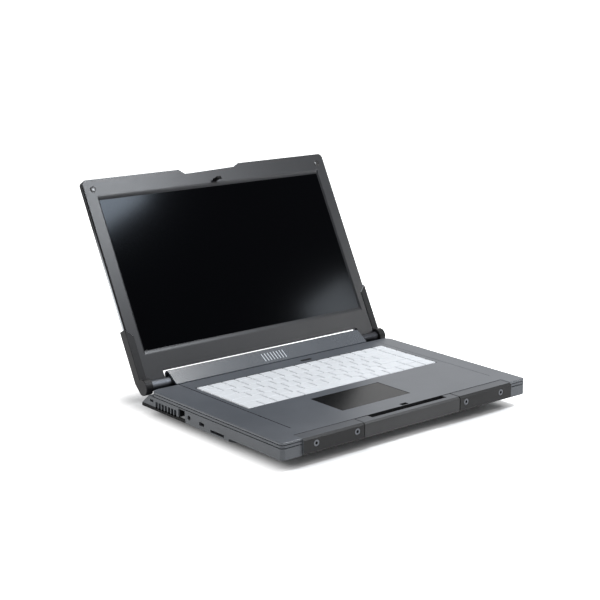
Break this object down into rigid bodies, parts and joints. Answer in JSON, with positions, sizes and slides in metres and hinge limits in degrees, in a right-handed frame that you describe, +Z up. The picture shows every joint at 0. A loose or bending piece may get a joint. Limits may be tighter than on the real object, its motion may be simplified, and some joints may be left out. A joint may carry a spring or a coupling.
{
  "type": "laptop computer",
  "caption": "Rugged clamshell laptop, opened, with corner bumpers, a pull-out carrying handle, light keys, a touchpad and a thick screen lid on two hinge barrels.",
  "frame": {"origin": "on the table under the middle of the opened object", "axes": "+X to the right as the user faces the screen, +Y from the front edge towards the hinge, +Z up"},
  "size_m": [0.389, 0.4036, 0.2718],
  "materials": {
    "case_paint": "satin dark blue-grey paint on a light alloy casting",
    "shell_paint": "satin mid grey paint on a light alloy casting",
    "band_paint": "satin mid grey paint on a light alloy casting",
    "cover_paint": "satin silver-grey paint on light alloy",
    "bumper_plastic": "moulded, fine grain",
    "handle_plastic": "moulded, fine grain",
    "key_plastic": "light grey moulded caps",
    "tray_plastic": "dark moulded",
    "touchpad_glass": "smooth dark face",
    "light_window": "clear light windows",
    "button_plastic": "dark moulded",
    "screw_steel": "turned heads",
    "hinge_metal": "satin turned metal",
    "steel_plate": "pressed plate",
    "lid_silver": "silver paint on a light alloy casting",
    "lid_black": "black moulded",
    "bezel_paint": "satin grey paint on light alloy",
    "screen_face": "dark panel, switched off",
    "arm_rubber": "near-black moulded",
    "foot_rubber": "soft",
    "battery_plastic": "moulded",
    "board_laminate": "solder mask",
    "chip_package": "moulded package",
    "copper": "plain copper",
    "fin_aluminium": "folded sheet",
    "socket_metal": "stamped cans",
    "socket_plastic": "black moulded"
  },
  "bodies": {
    "base": {"lower_shell": "shell_paint", "mid_frame": "band_paint", "top_deck": "case_paint", "hinge_cover": "cover_paint", "status_lights": "light_window", "keyboard_tray": "tray_plastic", "left_bumper": "bumper_plastic", "right_bumper": "bumper_plastic", "bumper_screws": "screw_steel", "base_screws": "screw_steel", "feet": "foot_rubber", "battery_pack": "battery_plastic", "mainboard": "board_laminate", "processor": "chip_package", "heat_block": "copper", "heat_pipe": "copper", "fin_stack": "fin_aluminium", "fan_housing": "tray_plastic", "memory_modules": "board_laminate", "wireless_card": "board_laminate", "clock_cell": "steel_plate", "drive_caddy": "steel_plate", "solid_state_drive": "fin_aluminium", "speakers": "socket_plastic", "network_socket": "socket_metal", "audio_jack": "socket_plastic", "side_port": "socket_metal", "card_reader": "socket_metal", "lock_plate": "steel_plate", "power_inlet": "socket_plastic", "left_hinge_barrel": "hinge_metal", "right_hinge_barrel": "hinge_metal", "latch_strike": "steel_plate", "handle_guides": "socket_plastic", "touchpad_bracket": "tray_plastic", "power_switch": "tray_plastic"},
    "lid": {"lid_shell": "lid_silver", "lid_frame": "lid_black", "lid_bezel": "bezel_paint", "display_panel": "screen_face", "left_lid_arm": "arm_rubber", "right_lid_arm": "arm_rubber", "hinge_pins": "steel_plate", "lid_stops": "foot_rubber"},
    "handle": {"handle_bar": "handle_plastic", "handle_arms": "steel_plate"},
    "latch": {"latch_hook": "hinge_metal"},
    "touchpad": {"touchpad": "touchpad_glass"},
    "fan": {"fan_rotor": "tray_plastic"},
    "power_button": {"power_button": "button_plastic"},
    "function_row_keys": {"function_row_keys": "key_plastic"},
    "number_row_keys": {"number_row_keys": "key_plastic"},
    "upper_row_keys": {"upper_row_keys": "key_plastic"},
    "home_row_keys": {"home_row_keys": "key_plastic"},
    "lower_row_keys": {"lower_row_keys": "key_plastic"},
    "bottom_row_keys": {"bottom_row_keys": "key_plastic"},
    "space_bar": {"space_bar": "key_plastic"},
    "enter_key": {"enter_key": "key_plastic"},
    "backspace_key": {"backspace_key": "key_plastic"},
    "left_shift_key": {"left_shift_key": "key_plastic"}
  },
  "joints": [
    {"name": "lid_hinge", "type": "hinge", "parent": "base", "child": "lid", "pos_m": [0, 0.06822, 0.03575], "axis": [-1, 0, 0], "range_deg": [-117.8, 15]},
    {"name": "handle_slide", "type": "slide", "parent": "base", "child": "handle", "axis": [0, -1, 0], "range_m": [0, 0.028]},
    {"name": "latch_slide", "type": "slide", "parent": "lid", "child": "latch", "axis": [1, 0, 0], "range_m": [0, 0.004]},
    {"name": "touchpad_click", "type": "hinge", "parent": "base", "child": "touchpad", "pos_m": [0, -0.09568, 0.03565], "axis": [1, 0, 0], "range_deg": [0, 0.6], "stiffness_Nm_per_rad": 8, "springref_deg": -1.15},
    {"name": "fan_spin", "type": "hinge", "parent": "base", "child": "fan", "pos_m": [-0.1365, 0.02122, 0.0155], "axis": [0, 0, 1], "continuous": true},
    {"name": "power_press", "type": "slide", "parent": "base", "child": "power_button", "axis": [0, 0, -1], "range_m": [0, 0.0008], "stiffness_N_per_m": 800, "springref_m": -0.001},
    {"name": "function_row_keys_press", "type": "slide", "parent": "base", "child": "function_row_keys", "axis": [0, 0, -1], "range_m": [0, 0.002], "stiffness_N_per_m": 4800, "springref_m": -0.001},
    {"name": "number_row_keys_press", "type": "slide", "parent": "base", "child": "number_row_keys", "axis": [0, 0, -1], "range_m": [0, 0.002], "stiffness_N_per_m": 4800, "springref_m": -0.001},
    {"name": "upper_row_keys_press", "type": "slide", "parent": "base", "child": "upper_row_keys", "axis": [0, 0, -1], "range_m": [0, 0.002], "stiffness_N_per_m": 4800, "springref_m": -0.001},
    {"name": "home_row_keys_press", "type": "slide", "parent": "base", "child": "home_row_keys", "axis": [0, 0, -1], "range_m": [0, 0.002], "stiffness_N_per_m": 4800, "springref_m": -0.001},
    {"name": "lower_row_keys_press", "type": "slide", "parent": "base", "child": "lower_row_keys", "axis": [0, 0, -1], "range_m": [0, 0.002], "stiffness_N_per_m": 4800, "springref_m": -0.001},
    {"name": "bottom_row_keys_press", "type": "slide", "parent": "base", "child": "bottom_row_keys", "axis": [0, 0, -1], "range_m": [0, 0.002], "stiffness_N_per_m": 4800, "springref_m": -0.001},
    {"name": "space_bar_press", "type": "slide", "parent": "base", "child": "space_bar", "axis": [0, 0, -1], "range_m": [0, 0.002], "stiffness_N_per_m": 600, "springref_m": -0.001},
    {"name": "enter_key_press", "type": "slide", "parent": "base", "child": "enter_key", "axis": [0, 0, -1], "range_m": [0, 0.002], "stiffness_N_per_m": 600, "springref_m": -0.001},
    {"name": "backspace_key_press", "type": "slide", "parent": "base", "child": "backspace_key", "axis": [0, 0, -1], "range_m": [0, 0.002], "stiffness_N_per_m": 600, "springref_m": -0.001},
    {"name": "left_shift_key_press", "type": "slide", "parent": "base", "child": "left_shift_key", "axis": [0, 0, -1], "range_m": [0, 0.002], "stiffness_N_per_m": 600, "springref_m": -0.001}
  ]
}
